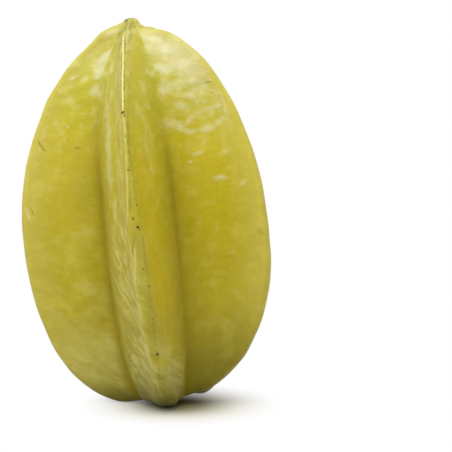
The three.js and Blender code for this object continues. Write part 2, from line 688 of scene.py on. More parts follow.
@dataclass(frozen=True)
class Layer:
    """Marks of one kind.

    Attributes:
        colour: Their colour.
        soft: The share of a mark's size over which its edge fades.
        share: How much of the colour shows in a mark of strength 1.
        marks: The marks by rib.
    """

    colour: str
    soft: float
    share: float
    marks: dict[Rib, tuple[Patch | Streak, ...]]

    def cover(self, bench: Bench, flat: Signal) -> Signal:
        """Draws the marks on the flat map of the skin, from 0 outside them to 1."""
        pairs = [(rib, mark) for rib, marks in self.marks.items() for mark in marks]
        return plainest([mark.draw(bench, flat, rib, self.soft) for rib, mark in pairs])

    def lay(self, bench: Bench, colour: Signal, cover: Signal) -> Signal:
        """Lays the marks' colour over another one, where they cover it."""
        return bench.blend(cover * self.share, colour, linear(self.colour))


# Pale blotches on the shoulders of the side ribs, and flecks lower down: partly pale wax, partly a painted
# highlight, the reflection of the light above.
WAX_AND_HIGHLIGHTS = Layer(
    "#D6D2A8",
    soft=0.85,
    share=0.85,
    marks={
        Rib.LEFT: (
            Patch(103.9, 10.4, 5.2, 4.6, 0.95),
            Patch(101.8, 12.6, 5.6, 4.4, 0.8),
            Patch(99.8, 14.8, 4.8, 4.4, 0.7),
            Patch(99.7, 5.3, 3.2, 1.4, 0.7),
            Patch(99.4, 10.9, 4, 2.4, 0.35, 10),
            Patch(95.4, 17.3, 6, 3, 0.7, -15),
            Patch(94.9, 4, 1.1, 1, 0.6),
            Patch(105, 4, 5, 3, 0.3, 30),
            Patch(110.6, 2.6, 3, 3.4, 0.6),
            Patch(85.6, 12.9, 1.4, 0.9, 0.7),
            Patch(81.7, 13.3, 2, 1.6, 0.4),
            Patch(87.3, 13.7, 3, 2, 0.3),
            Patch(82.7, 4.6, 3, 9, 0.25),
            Streak(((2.6, 61.8), (3.7, 58.9)), 0.8, 0.6),
            Patch(101, -9, 8, 5, 0.6, 10),
        ),
        Rib.RIGHT: (
            Patch(104, -7.5, 17, 17, 0.62),
            Patch(107.7, -6.4, 6, 4.4, 0.85),
            Patch(104.9, -7.6, 8, 4, 0.85, -8),
            Patch(100.1, -15.2, 6, 3.6, 0.85),
            Patch(100.3, -7, 12, 8, 0.7),
            Patch(90, -12, 22, 24, 0.34),
            Streak(((-22, 93.8), (-14, 94.9), (-5.6, 95.6)), 3.4, 0.6),
            Streak(((-14.2, 91.4), (-10, 92.4), (-5.8, 93.8)), 2.4, 0.62),
            Patch(95.4, -3.2, 2, 1.6, 0.5),
            Patch(91.3, -4.8, 1.4, 1.4, 0.6),
            Patch(88.8, -17.3, 8, 3, 0.62, 5),
            Patch(83.8, -22.8, 8, 4, 0.55, -8),
            Streak(((-23, 82.5), (-19.5, 81.2), (-15.8, 80.6), (-10.2, 81.6)), 2.1, 0.52),
            Streak(((-10.2, 81.6), (-5.6, 84.2), (-3.4, 88.3), (-3, 92)), 2.1, 0.52),
            Streak(((-19.2, 83.1), (-13.9, 86), (-9.2, 87.4), (-4.6, 88.6)), 2.3, 0.52),
            Streak(((-19.6, 74.1), (-16.6, 75)), 1.3, 0.55),
            Patch(72.3, -20.9, 1.8, 1.1, 0.5),
            Patch(74.5, -9, 4.5, 1, 0.35, 5),
            Patch(67.1, -13, 5, 1.7, 0.65),
            Streak(((-7.6, 64.4), (-5.8, 65.2)), 1.1, 0.4),
            Patch(98, 10, 9, 5, 0.6, -10),
        ),
        Rib.FRONT: (
            Streak(((-6.5, 65.6), (-9.7, 57.8), (-11.6, 53.6)), 0.9, 0.6),
            Streak(((-3.6, 69), (-5.6, 62.4)), 0.8, 0.5),
            Streak(((-15, 88), (-16.5, 80), (-16.6, 71)), 4.6, 0.5),
            Streak(((-2.4, 90), (-3.4, 80), (-4.4, 70), (-7.4, 62)), 4.2, 0.42),
            Patch(5.9, 3.4, 0.7, 0.9, 0.7),
        ),
        Rib.BACK_RIGHT: (
            Patch(101, -8, 9, 6, 0.7, 15),
            Patch(92, 9, 7, 2.4, 0.5, -12),
            Streak(((4, 83), (9, 81), (15, 82), (20, 85)), 1.8, 0.5),
        ),
        Rib.BACK_LEFT: (
            Patch(103, 7, 8, 5, 0.7),
            Patch(95, -13, 6, 3, 0.6, 20),
            Patch(78, -9, 5, 1.6, 0.5, 8),
        ),
    },
)

# The thin bright line along the front crest, below the seam, partly a painted highlight on the ridge.
PALE_LINES_AND_HIGHLIGHT = Layer(
    "#D6CE8C",
    soft=0.8,
    share=1,
    marks={
        Rib.FRONT: (
            Streak(
                ((0.3, 89), (0.3, 80.2), (-0.1, 74.7), (-0.6, 69.2), (-1.3, 63.6), (-2.1, 60.6)),
                0.7, 0.45,
            ),
            Streak(((-0.3, 53.6), (-0.5, 50.7), (-0.9, 47.8), (-1.4, 44.9), (-2.4, 41.9)), 0.6, 0.6),
            Streak(((-2.4, 41.9), (-2.2, 30), (-1.4, 18), (-0.6, 6)), 0.9, 0.25),
        ),
    },
)

# The dark line beside it, partly painted shade beside the ridge.
GREY_LINES_AND_SHADE = Layer(
    "#7E7838",
    soft=0.8,
    share=1,
    marks={
        Rib.FRONT: (
            Streak(
                ((1.1, 89), (1.1, 80.2), (0.8, 74.7), (0.3, 69.2), (-0.3, 63.6), (-0.9, 60.6)),
                0.7, 0.6,
            ),
            Streak(
                ((3.9, 54.1), (3, 50), (2.3, 43), (1.8, 32), (1.5, 25), (0.9, 18), (-0.5, 8)),
                0.7, 0.5,
            ),
        ),
    },
)

# Riper spots.
GOLDEN = Layer(
    "#C6B018",
    soft=0.8,
    share=0.8,
    marks={
        Rib.LEFT: (
            Patch(109.1, 2.9, 3.2, 2.4, 0.45),
            Patch(106.2, 8.4, 3, 2.4, 0.5),
        ),
        Rib.RIGHT: (
            Streak(((-5, 110.5), (-7.2, 108.8), (-11.6, 105.9)), 2.4, 0.6),
            Patch(102.5, -12.4, 7, 1.8, 0.8),
            Patch(97.4, -16.6, 7, 1.5, 0.5),
            Patch(91.2, -18, 8, 2, 0.4, 3),
            Patch(83.5, -14, 6, 1.8, 0.5, 10),
        ),
        Rib.FRONT: (
            Streak(((5.6, 110), (7.6, 107), (9.4, 103)), 2.2, 0.55),
            Patch(103, 6.4, 8, 13, 0.55),
            Patch(35, 12.6, 10, 7, 0.5),
            Patch(44, 9, 12, 48, 0.65),
            Patch(17.3, 3.2, 3.2, 3.2, 0.4),
        ),
    },
)

# Spots that ripen last.
GREEN = Layer(
    "#9C9838",
    soft=0.8,
    share=0.8,
    marks={
        Rib.FRONT: (
            Streak(((-1.8, 111), (-4.2, 104), (-4.4, 96)), 4.5, 0.35),
            Streak(((0.2, 88), (0.4, 80), (0.6, 72), (0.4, 64)), 4, 0.85),
            Streak(((1, 60), (1.4, 44), (1.4, 24)), 4.5, 0.85),
            Patch(110.5, 3, 5, 4, 0.2),
            Patch(25.6, -14.3, 8, 3.6, 0.7),
            Patch(47.4, -6.7, 3, 2, 0.6),
            Patch(27, 10, 14, 8, 0.4),
        ),
        Rib.RIGHT: (Patch(50.5, -3.2, 2, 2.4, 0.4),),
        Rib.LEFT: (Patch(92, 24, 3, 20, 0.4),),
    },
)

# Painted shade round the feet.
PAINTED_FOOT_SHADE = Layer(
    "#6E6812",
    soft=0.95,
    share=0.85,
    marks={
        Rib.RIGHT: (Patch(6, -12, 40, 26, 0.55),),
        Rib.FRONT: (Patch(3, 2, 24, 16, 0.55),),
        Rib.LEFT: (Patch(1, 14, 34, 8, 0.8),),
        Rib.BACK_RIGHT: (Patch(3, 0, 30, 12, 0.6),),
        Rib.BACK_LEFT: (Patch(3, 0, 30, 12, 0.6),),
    },
)

# The pale waxy bloom, which the fine wrinkles break up.
BLOOM = Layer(
    "#CFC97A",
    soft=0.5,
    share=0.8,
    marks={
        Rib.FRONT: (
            Streak(((-13.8, 94.4), (-15.1, 84.7), (-17.8, 76.2), (-18.5, 66)), 4.5, 0.75),
            Streak(
                ((-3.4, 102), (-4.6, 93.5), (-4.5, 85.4), (-6.5, 77), (-9.3, 68.4), (-12, 58)),
                6.5, 0.8,
            ),
            Patch(109.6, 2.2, 5, 5, 0.9),
            Patch(61.5, -13.6, 9, 10, 1),
            Patch(44, -10, 24, 40, 0.95),
            Patch(21, -8, 22, 32, 0.9),
            Patch(36, 0, 5, 36, 0.4),
            Patch(12, 8, 15, 18, 0.65),
            Patch(77.5, 15, 6, 12, 0.35),
            Patch(21.4, 5.3, 6, 2.6, 0.6),
        ),
        Rib.LEFT: (
            Patch(62, 13, 24, 40, 0.2),
            Patch(53.6, 19.5, 9, 2.4, 0.5, 14),
            Patch(57.3, 8.5, 4.5, 1.5, 0.35, 10),
            Patch(36.9, 18.2, 5, 4.8, 0.5, 20),
            Streak(((5.6, 31.3), (7.9, 25.4)), 3.4, 0.5),
            Streak(((12, 26.7), (18, 31), (23, 34.3)), 5, 0.4),
            Patch(15, 12, 30, 20, 0.9),
            Patch(74, 3.2, 5, 20, 0.35),
            Patch(30, -10, 22, 50, 0.6),
        ),
        Rib.BACK_RIGHT: (
            Patch(25, -9, 20, 56, 0.8),
            Patch(18, 9, 18, 26, 0.5),
        ),
        Rib.BACK_LEFT: (Patch(24, 10, 20, 50, 0.8),),
        Rib.RIGHT: (Patch(20, 10, 20, 44, 0.7),),
    },
)

# Healed scratches.
SCARS = Layer(
    "#8A6E2E",
    soft=0.4,
    share=1,
    marks={
        Rib.LEFT: (
            Streak(((3.2, 81.3), (6.5, 78.7)), 0.6, 0.5),
            Streak(((3.7, 62.4), (4.8, 60.4)), 0.5, 0.4),
            Patch(78.9, 18.4, 2, 0.8, 0.45),
        ),
        Rib.RIGHT: (Streak(((-5.8, 94.5), (-3.2, 94.8)), 0.4, 0.4),),
        Rib.FRONT: (
            Streak(((-0.2, 55), (-0.6, 52.6)), 0.4, 0.6),
            Streak(((-1.2, 53), (-1.6, 51)), 0.4, 0.5),
            Streak(((-16.4, 17.2), (-14.8, 18.7)), 0.7, 0.6),
            Streak(((-12.4, 19.2), (-10.6, 18.4)), 0.5, 0.5),
        ),
        Rib.BACK_LEFT: (Streak(((5, 66), (7.5, 63.5)), 0.6, 0.6),),
        Rib.BACK_RIGHT: (Streak(((-9, 47), (-6.5, 46)), 0.6, 0.5),),
    },
)

# Dark specks, most of them along the crests.
SPECKS = Layer(
    "#3A2C10",
    soft=0.35,
    share=1,
    marks={
        Rib.FRONT: (
            Patch(108.3, -0.7, 0.4, 0.9, 0.7),
            Patch(108.1, 0.6, 0.35, 0.8, 0.6),
            Patch(90.2, -0.1, 1, 0.7, 1, 20),
            Patch(89.4, 0.3, 0.5, 0.5, 0.8),
            Patch(83.9, 0.5, 0.35, 0.7, 0.5),
            Patch(74.7, 0.4, 0.6, 0.45, 0.6, -25),
            Patch(64.6, 2.4, 0.6, 0.5, 0.7),
            Patch(61, 0.4, 0.6, 0.9, 0.6, 15),
            Patch(58.3, 1.6, 0.65, 0.9, 1, 35),
            Patch(57.6, 2.1, 0.4, 0.5, 0.7),
            Patch(54.3, 3.6, 0.5, 0.9, 0.6, 10),
            Patch(52.7, 3.3, 0.4, 0.5, 0.5),
            Patch(46.1, 1.6, 0.4, 0.7, 0.6),
            Patch(40.9, 2.7, 0.6, 0.6, 0.85),
            Patch(31, 1.8, 0.4, 0.4, 0.6),
            Patch(20.1, 1.4, 0.7, 0.8, 0.8, 20),
            Patch(10.2, 1, 0.6, 0.5, 0.5),
        ),
        Rib.BACK_RIGHT: (
            Patch(84, 0.3, 0.7, 0.9, 0.8),
            Patch(61, -0.6, 0.6, 0.6, 0.7),
            Patch(47, 1.2, 0.7, 0.5, 0.8),
            Patch(33, 0.4, 0.5, 0.8, 0.6),
        ),
        Rib.BACK_LEFT: (
            Patch(92, 0.2, 0.8, 0.7, 0.8),
            Patch(70, 0.8, 0.5, 0.9, 0.7),
            Patch(52, -1, 0.6, 0.6, 0.8),
            Patch(38, 1.4, 0.6, 0.7, 0.7),
        ),
        Rib.RIGHT: (
            Patch(71, 0.5, 0.6, 0.6, 0.7),
            Patch(49, 0.8, 0.7, 0.6, 0.7),
        ),
    },
)


# ---- Finishes ----------------------------------------------------------------------------------


@dataclass(frozen=True)
class Strands:
    """Noise that is drawn out one way over the skin.

    Attributes:
        size: The length of one strand, in metres.
        share: Its width as a share of its length.
        tilt: The way that it runs, in degrees from straight up the rib.
        detail: How many finer layers are added.
        warp: How far the strands are twisted.
    """

    size: float
    share: float
    tilt: float
    detail: float
    warp: float = 0.0

    def draw(self, bench: Bench, flat: Signal) -> Signal:
        """Draws the strands on the flat map of the skin, about 0.5 on average."""
        turn = (0.0, 0.0, math.radians(self.tilt))
        inputs = {"Vector": flat, "Rotation": turn, "Scale": (1.0, 1 / self.share, 1.0)}
        drawn_out = bench.add("ShaderNodeMapping", {"vector_type": "TEXTURE"}, inputs)
        return bench.noise(drawn_out, self.size, self.detail, self.warp)


@dataclass(frozen=True)
class SkinFinish:
    """The ripe skin: waxy, yellow, deeper in the valleys and paler towards the top, both partly painted:
    shade in the valleys, highlight at the top.

    Heights and the distances that colours reach are in millimetres, the sizes of patterns in metres.
    """

    ground_and_painted_shade: tuple[tuple[float, str], ...] = (  # height, and the colour there; the dark stops at the foot and the duller ones at the tip are painted shade
        (0, "#4E4A14"),
        (3, "#6A641A"),
        (9, "#968C28"),
        (18, "#A69A2A"),
        (32, "#B0A224"),
        (55, "#B7A712"),
        (80, "#BFB01E"),
        (97, "#BAB33A"),
        (106, "#B4AF48"),
        (114, "#ABA852"),
    )
    # deeper yellow in the valleys, partly the skin's colour and partly painted shade
    valley: str = "#94840A"
    valley_reach: tuple[float, float] = (13, 4)  # for its first half and for the rest
    valley_fade: tuple[float, float] = (100, 66)
    valley_wide_part: float = 0.45  # how much of it the first half makes
    valley_share: float = 0.9
    cloud: str = "#CABF48"
    cloud_size: float = 0.013
    cloud_range: tuple[float, float] = (0.5, 0.75)  # of the noise, from none to full
    cloud_share: float = 0.4
    # pale mottle, partly a painted highlight where it grows towards the top
    pale: str = "#D4CC8A"
    pale_range: tuple[float, float] = (0.48, 0.72)
    pale_highlight_rise: tuple[float, float] = (70, 100)
    pale_highlight_shares: tuple[float, float] = (0.15, 0.6)  # low down and high up, where it is partly a painted highlight
    # paler along the side ribs' crests: a painted highlight on their edges
    edge: str = "#C6BC5C"
    rim_highlight_reach: tuple[float, float] = (13, 2)
    rim_highlight_rise: tuple[float, float] = (8, 40)
    rim_highlight_share: float = 0.55
    shadow: str = "#989028"  # of the wrinkles in the bloom
    shadow_range: tuple[float, float] = (0.5, 0.38)
    shadow_share: float = 0.4
    bloom_range: tuple[float, float] = (0.38, 0.64)
    bloom_least: float = 0.15  # what is left of the bloom in the wrinkles
    bloom_gap: tuple[float, float] = (0, 4)  # from the valley
    plain_ribs: float = 0.2  # the wrinkles in the other ribs' bloom, as a share of the front one's
    wander: tuple[float, float] = (0.006, 0.0009)  # size and reach of the wandering of large marks
    waver: tuple[float, float] = (0.0014, 0.0005)  # the same of their rims
    quiver: tuple[float, float] = (0.0009, 0.0002)  # the same of fine marks
    mottle_size: float = 0.0035
    mottle_swing: float = 0.08
    grain_size: float = 0.0006
    grain_swing: float = 0.03
    fibres: Strands = Strands(0.0011, 0.3, 82, 4, 0.5)
    wax_highlight_fray: float = 0.8  # how far fibres and mottle break up the edges of the pale wax and painted highlight patches
    wax_highlight_range: tuple[float, float] = (0.1, 1.0)
    grey_and_shade_range: tuple[float, float] = (0.4, 0.6)  # of the fibres that break up the grey lines and their painted shade
    # bands across the ribs, lighter and darker: painted light and shade of fine creases, with uneven tone
    crease_light_and_shade: Strands = Strands(0.0016, 0.22, 90, 3, 0.4)
    crease_light_and_shade_swing: float = 0.1
    upright: Strands = Strands(0.0027, 0.42, 0, 5, 0.5)
    slanted: Strands = Strands(0.0021, 0.3, 48, 5, 0.5)
    slant_fade: tuple[float, float] = (50, 62)
    # the seam's pale colour is partly a painted highlight on the ridge, the dark line beside it partly
    # painted shade
    seam: str = "#D6CE8C"
    seam_dark_line_and_shade: str = "#7E7838"
    seam_start: tuple[float, float] = (87, 92)
    seam_end: tuple[float, float] = (110.8, 109.2)
    seam_line: tuple[float, float] = (0.36, 0.12)  # from the crest: where it ends, and is full
    seam_edge_line: tuple[float, float] = (0.55, 0.3)  # from the crest, and half its width
    seam_edge_share: float = 0.8
    seam_breaks: Strands = Strands(0.0009, 0.2, 0, 2)
    seam_breaks_range: tuple[float, float] = (0.35, 0.55)
    side_seams: float = 0.3  # the other ribs' seams, as a share of the front one's
    roughness: float = 0.42
    roughness_swing: float = 0.16
    gloss: float = 0.15
    sheen: float = 0.06
    sheen_roughness: float = 0.4
    relief: float = 0.00035  # depth of the finest relief, metres
    coat: float = 0.12
    coat_rise: tuple[float, float] = (20, 100)
    coat_roughness: float = 0.3
    glow: float = 0.35  # share of the light that passes through the flesh
    glow_reach: tuple[float, float, float] = (0.007, 0.005, 0.0012)  # by colour, metres

    def shader(self, bench: Bench) -> Signal:
        """Builds the skin's shader.

        Args:
            bench: The material to build it in.

        Returns:
            The shader.
        """
        place = bench.add("ShaderNodeTexCoord", output="Object")
        flat = bench.add("ShaderNodeUVMap", {"uv_map": SKIN_MAP}, output="UV")
        wavy = bench.stirred(flat, place, *self.wander)
        loose = bench.stirred(wavy, place, *self.waver)
        tight = bench.stirred(flat, place, *self.quiver)
        mottle = bench.noise(place, self.mottle_size, 4)
        grain = bench.noise(place, self.grain_size, 2)
        fibres = self.fibres.draw(bench, flat)

        colour = self._ground(bench, place, flat, mottle)
        colour = self._bloomed(bench, colour, flat, loose)
        for layer in (GREEN, GOLDEN):
            colour = layer.lay(bench, colour, layer.cover(bench, loose))
        fray = 0.6 * fibres + 0.4 * mottle
        # Pale wax patches, partly a painted highlight of the light above.
        wax_and_highlights = (WAX_AND_HIGHLIGHTS.cover(bench, wavy) + self.wax_highlight_fray * (fray - 0.5)).step(*self.wax_highlight_range)
        colour = WAX_AND_HIGHLIGHTS.lay(bench, colour, wax_and_highlights)
        # Painted shade round the feet.
        colour = PAINTED_FOOT_SHADE.lay(bench, colour, PAINTED_FOOT_SHADE.cover(bench, wavy))
        # Dark lines by the front crest, partly painted shade.
        grey_and_shade = GREY_LINES_AND_SHADE.cover(bench, tight) * fibres.step(*self.grey_and_shade_range)
        colour = GREY_LINES_AND_SHADE.lay(bench, colour, grey_and_shade)
        # The bright line down the front crest, partly a painted highlight.
        colour = PALE_LINES_AND_HIGHLIGHT.lay(bench, colour, PALE_LINES_AND_HIGHLIGHT.cover(bench, tight))
        scar = SCARS.cover(bench, tight)
        colour = SCARS.lay(bench, colour, scar)
        colour = self._seamed(bench, colour, flat, tight)
        colour = bench.dappled(colour, mottle, self.mottle_swing)
        colour = bench.dappled(colour, grain, self.grain_swing)
        speck = SPECKS.cover(bench, tight)
        colour = SPECKS.lay(bench, colour, speck)

        height = bench.split(flat)[1] * (1 / MM)
        relief = 0.5 * mottle + 0.25 * grain + 0.5 * self._wrinkles(bench, loose, height)
        relief = relief + 0.3 * wax_and_highlights - 0.7 * (scar + speck)
        inputs = {
            "Base Color": colour,
            "Roughness": self.roughness + self.roughness_swing * (mottle - 0.5),
            "Specular IOR Level": self.gloss,
            "Subsurface Weight": self.glow,
            "Subsurface Radius": self.glow_reach,
            "Subsurface Scale": 1.0,
            "Sheen Weight": self.sheen,
            "Sheen Roughness": self.sheen_roughness,
            "Coat Weight": self.coat * height.step(*self.coat_rise),
            "Coat Roughness": self.coat_roughness,
            "Normal": bench.add("ShaderNodeBump", None, {"Height": relief, "Distance": self.relief}),
        }
        return bench.add("ShaderNodeBsdfPrincipled", None, inputs)

    def _ground(self, bench: Bench, place: Signal, flat: Signal, mottle: Signal) -> Signal:
        """Colours the bare skin from foot to tip and crest to valley, with painted shade and highlights.

        Args:
            bench: The material to work in.
            place: The coordinates in space.
            flat: The coordinates on the flat map.
            mottle: Fine clouds, about 0.5 on average.

        Returns:
            The colour.
        """
        x, y, _ = bench.split(flat)
        height = y * (1 / MM)
        top = self.ground_and_painted_shade[-1][0]
        stops = [(level / top, linear(code)) for level, code in self.ground_and_painted_shade]
        colour = bench.add("ShaderNodeValToRGB", {"stops": stops}, {"Fac": height * (1 / top)})
        cloud = bench.noise(place, self.cloud_size, 3, 0.5).step(*self.cloud_range)
        colour = bench.blend(cloud * self.cloud_share, colour, linear(self.cloud))
        # Pale mottle, stronger towards the top as a painted highlight.
        low, high = self.pale_highlight_shares
        pale = mottle.step(*self.pale_range) * (low + (high - low) * height.step(*self.pale_highlight_rise))
        colour = bench.blend(pale, colour, linear(self.pale))
        # A painted highlight along the crests of the side ribs.
        side_ribs = 1 - self._front(x)
        edge = self._crest(bench, x).step(*self.rim_highlight_reach) * side_ribs * height.step(*self.rim_highlight_rise)
        colour = bench.blend(edge * self.rim_highlight_share, colour, linear(self.edge))
        gap = bench.attribute("gap") * (1 / MM)
        wide, narrow = self.valley_reach
        part = self.valley_wide_part
        # Deeper colour in the valleys, partly painted shade.
        valley_tone_and_shade = gap.step(wide, 0) * (part + (1 - part) * gap.step(narrow, 0))
        valley_tone_and_shade = valley_tone_and_shade * height.step(*self.valley_fade)
        colour = bench.blend(valley_tone_and_shade * self.valley_share, colour, linear(self.valley))
        # Bands across the ribs: painted light and shade of fine creases.
        return bench.dappled(colour, self.crease_light_and_shade.draw(bench, flat), self.crease_light_and_shade_swing)

    @staticmethod
    def _front(x: Signal, elsewhere: float = 0.0) -> Signal:
        """1 on the front rib and another value on the others, from the flat map's first part."""
        return elsewhere + (1 - elsewhere) * abs(x).step(0.6 * STRIP, 0.4 * STRIP)

    @staticmethod
    def _crest(bench: Bench, x: Signal) -> Signal:
        """The distance from the nearest crest, in millimetres, from the flat map's first part."""
        limits = {0: x, 1: STRIP / 2, 2: -STRIP / 2}
        return abs(bench.add("ShaderNodeMath", {"operation": "WRAP"}, limits)) * (1 / MM)

    def _wrinkles(self, bench: Bench, loose: Signal, height: Signal) -> Signal:
        """Fine wrinkles, which run up the rib above and slant low down.

        Args:
            bench: The material to work in.
            loose: The stirred coordinates on the flat map.
            height: The height in millimetres.

        Returns:
            The wrinkles, about 0.5 on average.
        """
        share = height.step(*self.slant_fade)
        return self.upright.draw(bench, loose) * share + self.slanted.draw(bench, loose) * (1 - share)

    def _bloomed(self, bench: Bench, colour: Signal, flat: Signal, loose: Signal) -> Signal:
        """Lays the bloom over the skin, broken up by the fine wrinkles.

        Args:
            bench: The material to work in.
            colour: The skin's colour.
            flat: The coordinates on the flat map.
            loose: The same, stirred.

        Returns:
            The colour with the bloom.
        """
        x, y, _ = bench.split(flat)
        height, gap = y * (1 / MM), bench.attribute("gap") * (1 / MM)
        wrinkles = self._wrinkles(bench, loose, height) - 0.5
        wrinkles = 0.5 + wrinkles * self._front(x, self.plain_ribs)
        cover = BLOOM.cover(bench, loose) * gap.step(*self.bloom_gap)
        shadow = cover * wrinkles.step(*self.shadow_range) * self.shadow_share
        colour = bench.blend(shadow, colour, linear(self.shadow))
        least = self.bloom_least
        return BLOOM.lay(bench, colour, cover * (least + (1 - least) * wrinkles.step(*self.bloom_range)))

    def _seamed(self, bench: Bench, colour: Signal, flat: Signal, tight: Signal) -> Signal:
        """Draws the bright seam along each upper crest, with a thin dark line on both sides, partly a
        painted highlight on the ridge and painted shade beside it.

        Args:
            bench: The material to work in.
            colour: The skin's colour.
            flat: The coordinates on the flat map.
            tight: The same, slightly stirred.

        Returns:
            The colour with the seams.
        """
        x, y, _ = bench.split(flat)
        height = y * (1 / MM)
        upper = height.step(*self.seam_start) * height.step(*self.seam_end)
        upper = upper * bench.attribute("room") * self._front(x, self.side_seams)
        crest = self._crest(bench, bench.split(tight)[0])
        breaks = self.seam_breaks.draw(bench, flat).step(*self.seam_breaks_range)
        # Dark lines beside the seam, partly painted shade.
        edge = crest.peak(*self.seam_edge_line) * upper * breaks * self.seam_edge_share
        colour = bench.blend(edge, colour, linear(self.seam_dark_line_and_shade))
        # The bright seam, partly a painted highlight on the ridge.
        return bench.blend(crest.step(*self.seam_line) * upper, colour, linear(self.seam))


# ---- The fruit ---------------------------------------------------------------------------------


@dataclass
class FruitSkin:
    """The fruit's whole outside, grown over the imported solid.

    Sizes are in millimetres.
    """

    name: str = "fruit_skin"
    finish: SkinFinish = SkinFinish()
    smoothness: int = 2
    swell_size: float = 24
    swell_depth: float = 0.5
    ripple_size: float = 9
    ripple_depth: float = 0.18
    crease_length: float = 5.5
    crease_depth: float = 0.1
    crease_rise: tuple[float, float] = (50, 90)
    crease_wander: tuple[float, float] = (15, 1.4)  # size in millimetres, reach in creases
    crease_patches: float = 17
    crease_patchiness: tuple[float, float] = (-0.25, 0.5)  # of the noise, from none to full
    crease_least: float = 0.4  # low down, as a share of those above
    flank_crest: tuple[float, float] = (2, 7)  # how far from the crest a flank begins, and is full
    flank_gap: tuple[float, float] = (1, 5)  # and from the valley
    crest_sway: float = 0.3
    sway_size: float = 8
    sway_width: float = 3
    seam_width: float = 0.34
    seam_height: float = 0.35
    groove_place: float = 2.6 * seam_width  # beside the seam
    groove_width: float = 0.4
    groove_depth: float = 0.3 * seam_height
    seam_from: float = 84
    seam_until: float = 94
    side_seams: float = 0.3  # the other ribs' seams, as a share of the front one's
    rim_place: float = 2.3
    rim_width: float = 0.6
    rim_height: float = 0.04
    valley_width: float = 2.6
    valley_rise: tuple[float, float] = (6, 20)
    valley_fill: float = 0.7
    neck_place: float = 111.9  # just below the button at the tip
    neck_width: float = 0.9
    neck_depth: float = 0.75
    shoulder_place: float = 110.9  # the left rib's full shoulder beside the button
    shoulder_width: float = 1.9
    shoulder_height: float = 0.85
    shoulder_gap: tuple[float, float] = (0, 1.5)  # from the valley, for the neck too
    feet: tuple[float, float] = (0.2, 4)  # from where nothing moves to where all of it does
    crest_round: float = 5
    crest_rounding: int = 14  # how many times the crests are smoothed
    foot_round: float = 9
    foot_until: float = 12
    foot_rounding: int = 24
    valley_round: float = 2.4
    valley_from: float = 96
    valley_until: float = 110.5
    valley_rounding: int = 60
    axis: Axis | None = None  # read off the solid

    def build(self, solid: bpy.types.Object) -> bpy.types.Object:
        """Grows the skin over the solid.

        Args:
            solid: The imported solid, which stays as it is.

        Returns:
            The skin.
        """
        skin = self._copy(solid)
        rings = Rings.read(skin.data)
        self.axis = rings.axis
        self._square(skin, rings)
        self._map(skin, rings)
        smoothed(skin, self.smoothness)
        places = self._places(skin, rings)
        self._soften(skin, places)
        self._sculpt(skin, places)
        self._paint(skin, places)
        self._dress(skin)
        return skin

    def _copy(self, solid: bpy.types.Object) -> bpy.types.Object:
        """Copies the solid's mesh into a new object and joins its loose triangles."""
        skin = bpy.data.objects.new(self.name, solid.data.copy())
        skin.data.name = self.name
        skin.data.materials.clear()
        bpy.context.scene.collection.objects.link(skin)
        edit(skin)
        bpy.ops.mesh.remove_doubles(threshold=1e-6)
        done()
        for layer in list(skin.data.uv_layers):
            skin.data.uv_layers.remove(layer)
        return skin

    def _square(self, skin: bpy.types.Object, rings: Rings) -> None:
        """Takes out the diagonals, which leaves four-sided faces between the rings.

        Args:
            skin: The skin.
            rings: Its rings.
        """
        edit(skin, "DESELECT")
        bpy.ops.mesh.select_mode(type="EDGE")
        done()
        poles = set(rings.poles)
        for edge in skin.data.edges:
            a, b = edge.vertices
            slanted = rings.levels[a] != rings.levels[b] and rings.columns[a] != rings.columns[b]
            edge.select = bool(slanted and not poles & {a, b})
        bpy.ops.object.mode_set(mode="EDIT")
        bpy.ops.mesh.dissolve_edges(use_verts=False)
        done()

    def _map(self, skin: bpy.types.Object, rings: Rings) -> None:
        """Writes each corner's column and level into a map, which stays true as the mesh is divided.

        Args:
            skin: The skin.
            rings: Its rings.
        """
        width = rings.places.shape[1]
        layer = skin.data.uv_layers.new(name=RING_MAP)
        poles = set(rings.poles)
        for face in skin.data.polygons:
            corners = list(face.vertices)
            columns = [rings.columns[i] for i in corners if i not in poles]
            wraps = max(columns) - min(columns) > width // 2
            columns = [c + width if wraps and c < width // 2 else c for c in columns]
            middle = sum(columns) / len(columns)
            for loop, i in zip(face.loop_indices, corners):
                column = middle if i in poles else rings.columns[i]
                if i not in poles and wraps and column < width // 2:
                    column += width
                layer.data[loop].uv = (column / width, rings.levels[i] / (len(rings.places) + 1))

    def _places(self, skin: bpy.types.Object, rings: Rings) -> SkinPlaces:
        """Works out where each point is on its rib, and maps the ribs for the finish.

        Args:
            skin: The skin, divided.
            rings: The solid's rings.

        Returns:
            The places of its points.
        """
        mesh = skin.data
        width = rings.places.shape[1]
        flat = np.empty(len(mesh.loops) * 2)
        mesh.uv_layers[RING_MAP].data.foreach_get("uv", flat)
        column = flat[0::2] * width
        level = flat[1::2] * (len(rings.places) + 1)
        corner = np.empty(len(mesh.loops), dtype=int)
        mesh.loops.foreach_get("vertex_index", corner)
        sizes = np.empty(len(mesh.polygons), dtype=int)
        mesh.polygons.foreach_get("loop_total", sizes)
        face = np.repeat(np.arange(len(sizes)), sizes)
        middle = np.bincount(face, column) / sizes

        half = rings.spacing / 2
        rib_of_face = np.floor((middle + half) / rings.spacing)
        side_of_face = np.sign(middle - rib_of_face * rings.spacing)
        rib, side = rib_of_face[face], side_of_face[face]
        step = np.abs(column - rib * rings.spacing)
        rib = rib.astype(int) % len(Rib)
        table = rings.spans() / MM
        across = self._between(table, level, rib, side, step)
        whole = self._between(table, level, rib, side, np.full(len(step), half))

        height = rings.axis.heights(points_of(mesh)) / MM
        layer = mesh.uv_layers.new(name=SKIN_MAP, do_init=False)
        pairs = np.stack((rib * STRIP + across * side * MM, height[corner] * MM), axis=1)
        layer.data.foreach_set("uv", pairs.ravel())
        mesh.uv_layers.remove(mesh.uv_layers[RING_MAP])

